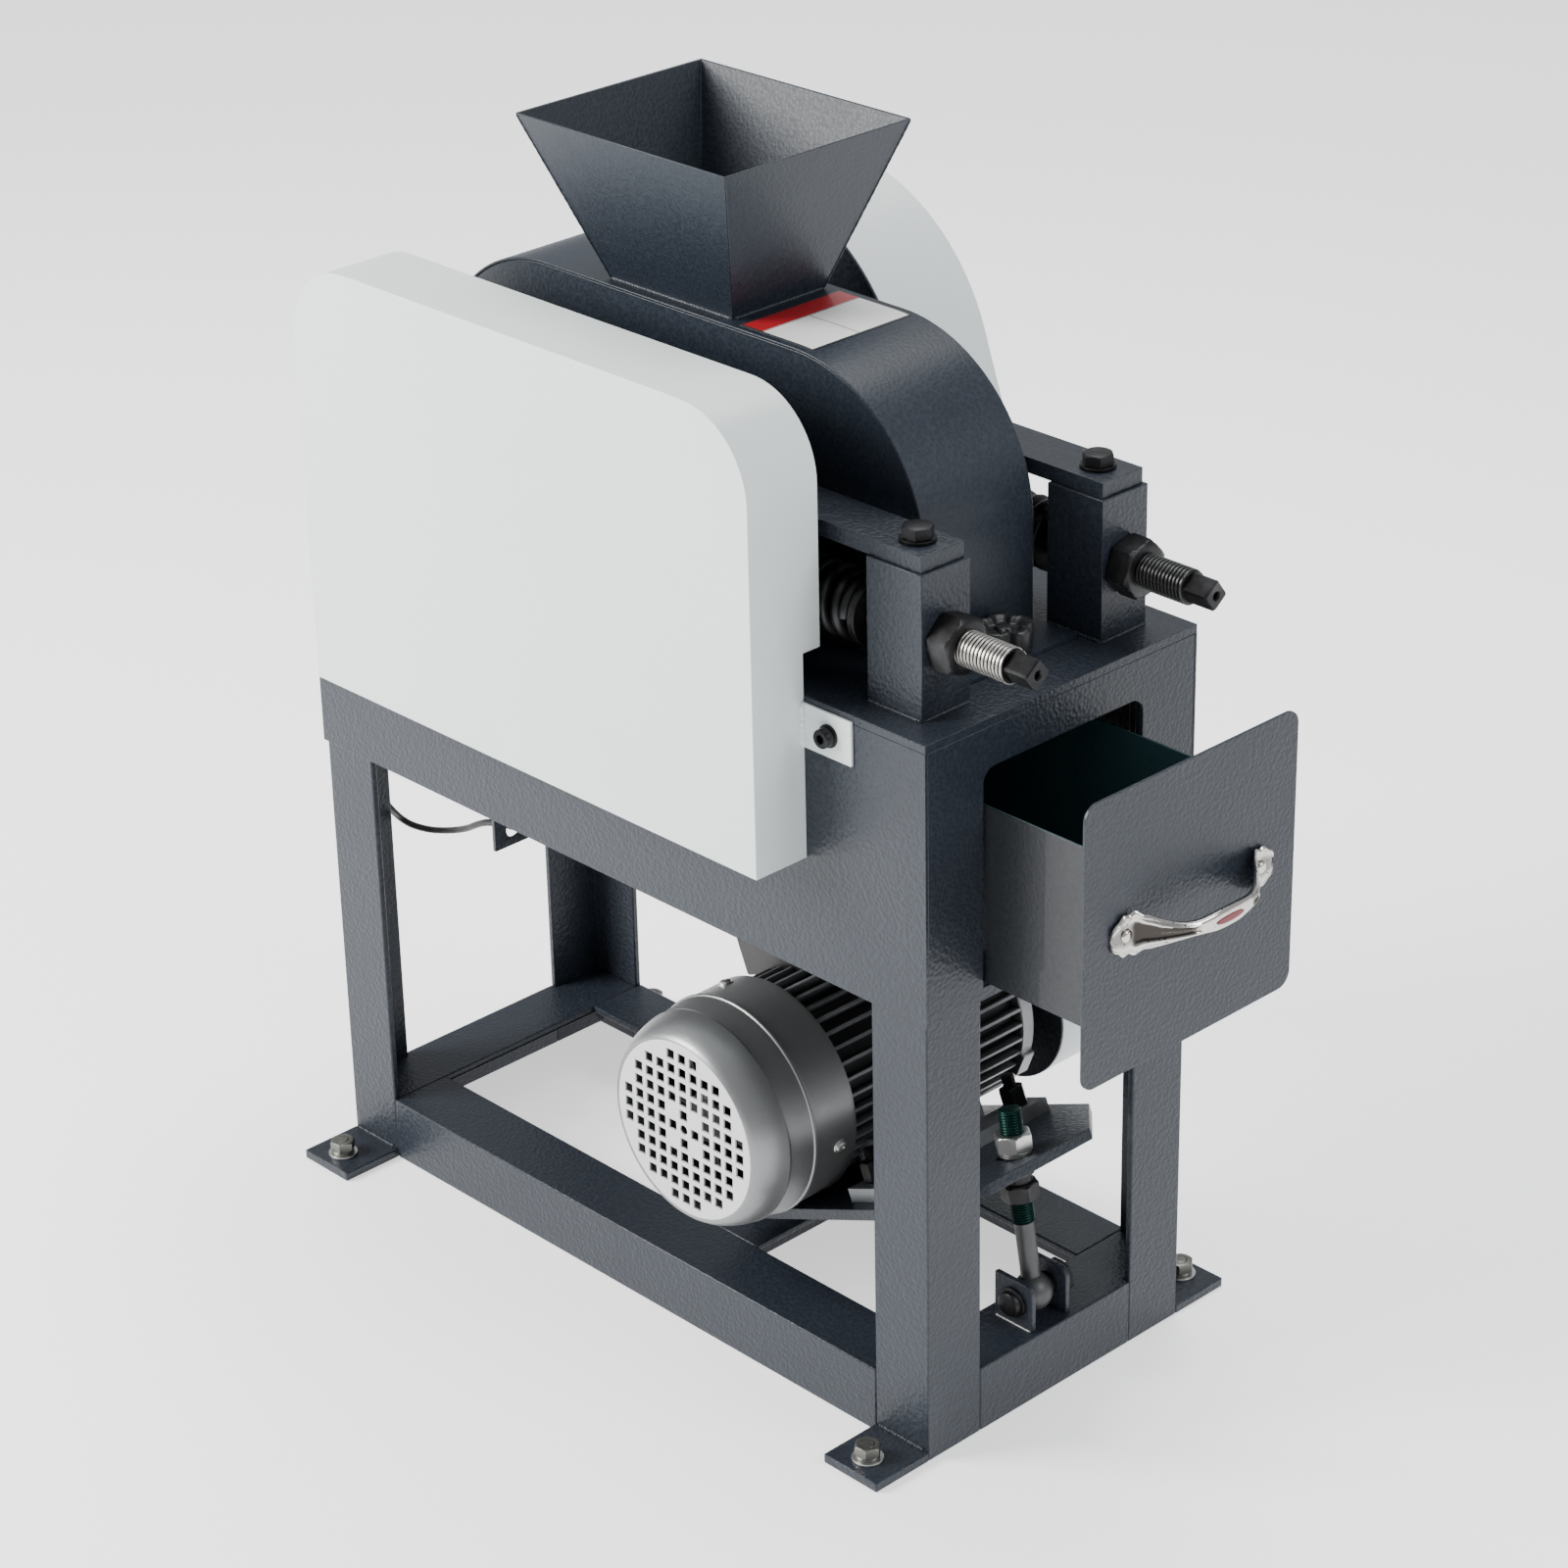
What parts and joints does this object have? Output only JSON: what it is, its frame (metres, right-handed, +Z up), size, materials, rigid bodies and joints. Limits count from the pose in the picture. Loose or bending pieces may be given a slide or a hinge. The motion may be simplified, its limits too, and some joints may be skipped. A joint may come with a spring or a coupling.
{
  "type": "double-roll grain mill",
  "caption": "Bench double-roll grain mill: lift-off hopper and casing over two geared rolls, sample drawer, belt drive from a motor on a hinged plate.",
  "frame": {"origin": "centre of the stand footprint on the floor", "axes": "+X out of the drawer end, +Y towards the belt guard, +Z up"},
  "size_m": [0.795, 0.388, 0.841],
  "materials": {
    "frame_paint": "hammertone",
    "guard_paint": "satin",
    "casing_paint": "hammertone",
    "drawer_paint": "satin",
    "bright_steel": "machined",
    "zinc_plated": "zinc plated",
    "black_oxide": "black oxide",
    "nickel": "polished",
    "cast_iron": "machined",
    "aluminium": "die cast",
    "motor_paint": "satin",
    "black_plastic": "moulded",
    "rubber": "matt"
  },
  "bodies": {
    "base": {"legs": "frame_paint", "base_rails": "frame_paint", "foot_plates": "frame_paint", "foot_bolts": "zinc_plated", "cabinet_side_near": "frame_paint", "cabinet_side_far": "frame_paint", "cabinet_front": "frame_paint", "cabinet_rear": "frame_paint", "table_plate": "frame_paint", "drawer_runners": "frame_paint", "posts": "frame_paint", "top_bars": "frame_paint", "bar_bolts": "black_oxide", "fixed_bearing_blocks": "frame_paint", "fixed_bearings": "bright_steel", "spring_near": "black_oxide", "spring_far": "black_oxide", "lock_nuts": "black_oxide", "drive_belts": "rubber", "gear_guard": "guard_paint", "belt_guard": "guard_paint", "belt_guard_back": "frame_paint", "guard_bolts": "black_oxide", "hinge_cross_member": "frame_paint", "pivot_pins": "zinc_plated", "eye_bracket": "frame_paint", "motor_lead": "rubber", "switch_box": "black_plastic"},
    "fixed_roll_unit": {"fixed_roll": "cast_iron", "fixed_shaft": "bright_steel", "fixed_gear": "cast_iron", "big_pulley": "cast_iron"},
    "moving_carriage": {"moving_bearing_blocks": "frame_paint", "moving_bearings": "bright_steel"},
    "moving_roll_unit": {"moving_roll": "cast_iron", "moving_shaft": "bright_steel", "moving_gear": "cast_iron"},
    "seat_near": {"spring_seat_near": "bright_steel"},
    "seat_far": {"spring_seat_far": "bright_steel"},
    "screw_near": {"adjusting_screw_near": "bright_steel"},
    "screw_far": {"adjusting_screw_far": "black_oxide"},
    "casing": {"casing_wrapper": "casing_paint", "casing_sides": "casing_paint", "casing_base": "casing_paint", "hopper": "casing_paint"},
    "knob": {"star_knob": "black_plastic"},
    "drawer": {"drawer_box": "drawer_paint", "drawer_front": "frame_paint", "drawer_handle": "nickel", "handle_screws": "nickel"},
    "motor_unit": {"motor_plate": "frame_paint", "motor_housing": "motor_paint", "drive_end_shield": "aluminium", "fan_cover": "motor_paint", "terminal_box": "black_plastic", "motor_foot_bolts": "black_oxide"},
    "rotor": {"motor_shaft": "bright_steel", "motor_pulley": "cast_iron"},
    "eye_bolt_body": {"eye_bolt": "zinc_plated"},
    "tension_nuts": {"eye_bolt_nuts": "zinc_plated"}
  },
  "joints": [
    {"name": "fixed_roll_spin", "type": "hinge", "parent": "base", "child": "fixed_roll_unit", "pos_m": [-0.124, 0, 0.585], "axis": [0, 1, 0], "continuous": true},
    {"name": "moving_roll_slide", "type": "slide", "parent": "base", "child": "moving_carriage", "axis": [1, 0, 0], "range_m": [0, 0.006], "deforming": ["spring_near", "spring_far"]},
    {"name": "moving_roll_spin", "type": "hinge", "parent": "moving_carriage", "child": "moving_roll_unit", "pos_m": [0.077, 0, 0.585], "axis": [0, 1, 0], "continuous": true},
    {"name": "screw_near_turn", "type": "hinge", "parent": "seat_near", "child": "screw_near", "pos_m": [0.3, -0.0825, 0.585], "axis": [1, 0, 0], "range_deg": [-721, 721]},
    {"name": "seat_near_travel", "type": "slide", "parent": "base", "child": "seat_near", "axis": [1, 0, 0], "range_m": [-0.006, 0.006]},
    {"name": "screw_far_turn", "type": "hinge", "parent": "seat_far", "child": "screw_far", "pos_m": [0.3, 0.0825, 0.585], "axis": [1, 0, 0], "range_deg": [-721, 721]},
    {"name": "seat_far_travel", "type": "slide", "parent": "base", "child": "seat_far", "axis": [1, 0, 0], "range_m": [-0.006, 0.006]},
    {"name": "casing_lift", "type": "slide", "parent": "base", "child": "casing", "axis": [0, 0, 1], "range_m": [0, 0.14]},
    {"name": "star_knob_turn", "type": "hinge", "parent": "casing", "child": "knob", "pos_m": [0.2545, 0, 0.55], "axis": [0, 0, 1], "continuous": true},
    {"name": "drawer_slide", "type": "slide", "parent": "base", "child": "drawer", "axis": [1, 0, 0], "range_m": [-0.1067, 0.12]},
    {"name": "motor_plate_tilt", "type": "hinge", "parent": "base", "child": "motor_unit", "pos_m": [0.047, 0, 0.062], "axis": [0, 1, 0], "range_deg": [-2, 2], "deforming": ["drive_belts", "motor_lead"]},
    {"name": "motor_spin", "type": "hinge", "parent": "motor_unit", "child": "rotor", "pos_m": [0.10566, 0, 0.18869], "axis": [0, 1, 0], "continuous": true},
    {"name": "eye_bolt_swing", "type": "hinge", "parent": "base", "child": "eye_bolt_body", "pos_m": [0.284, 0, 0.068], "axis": [0, 1, 0], "range_deg": [-3, 3]},
    {"name": "tension_nut_travel", "type": "slide", "parent": "eye_bolt_body", "child": "tension_nuts", "axis": [-0.1688, 0, 0.9857], "range_m": [-0.009, 0.009]}
  ],
  "couplings": [
    {"joint": "moving_roll_spin", "follows": "fixed_roll_spin", "ratio": -1},
    {"joint": "motor_spin", "follows": "fixed_roll_spin", "ratio": 3.2857},
    {"joint": "eye_bolt_swing", "follows": "motor_plate_tilt", "ratio": 0.65187},
    {"joint": "tension_nut_travel", "follows": "motor_plate_tilt", "m_per_rad": -0.23461},
    {"joint": "screw_near_turn", "follows": "seat_near_travel", "rad_per_m": 2094.4},
    {"joint": "screw_far_turn", "follows": "seat_far_travel", "rad_per_m": 2094.4}
  ]
}
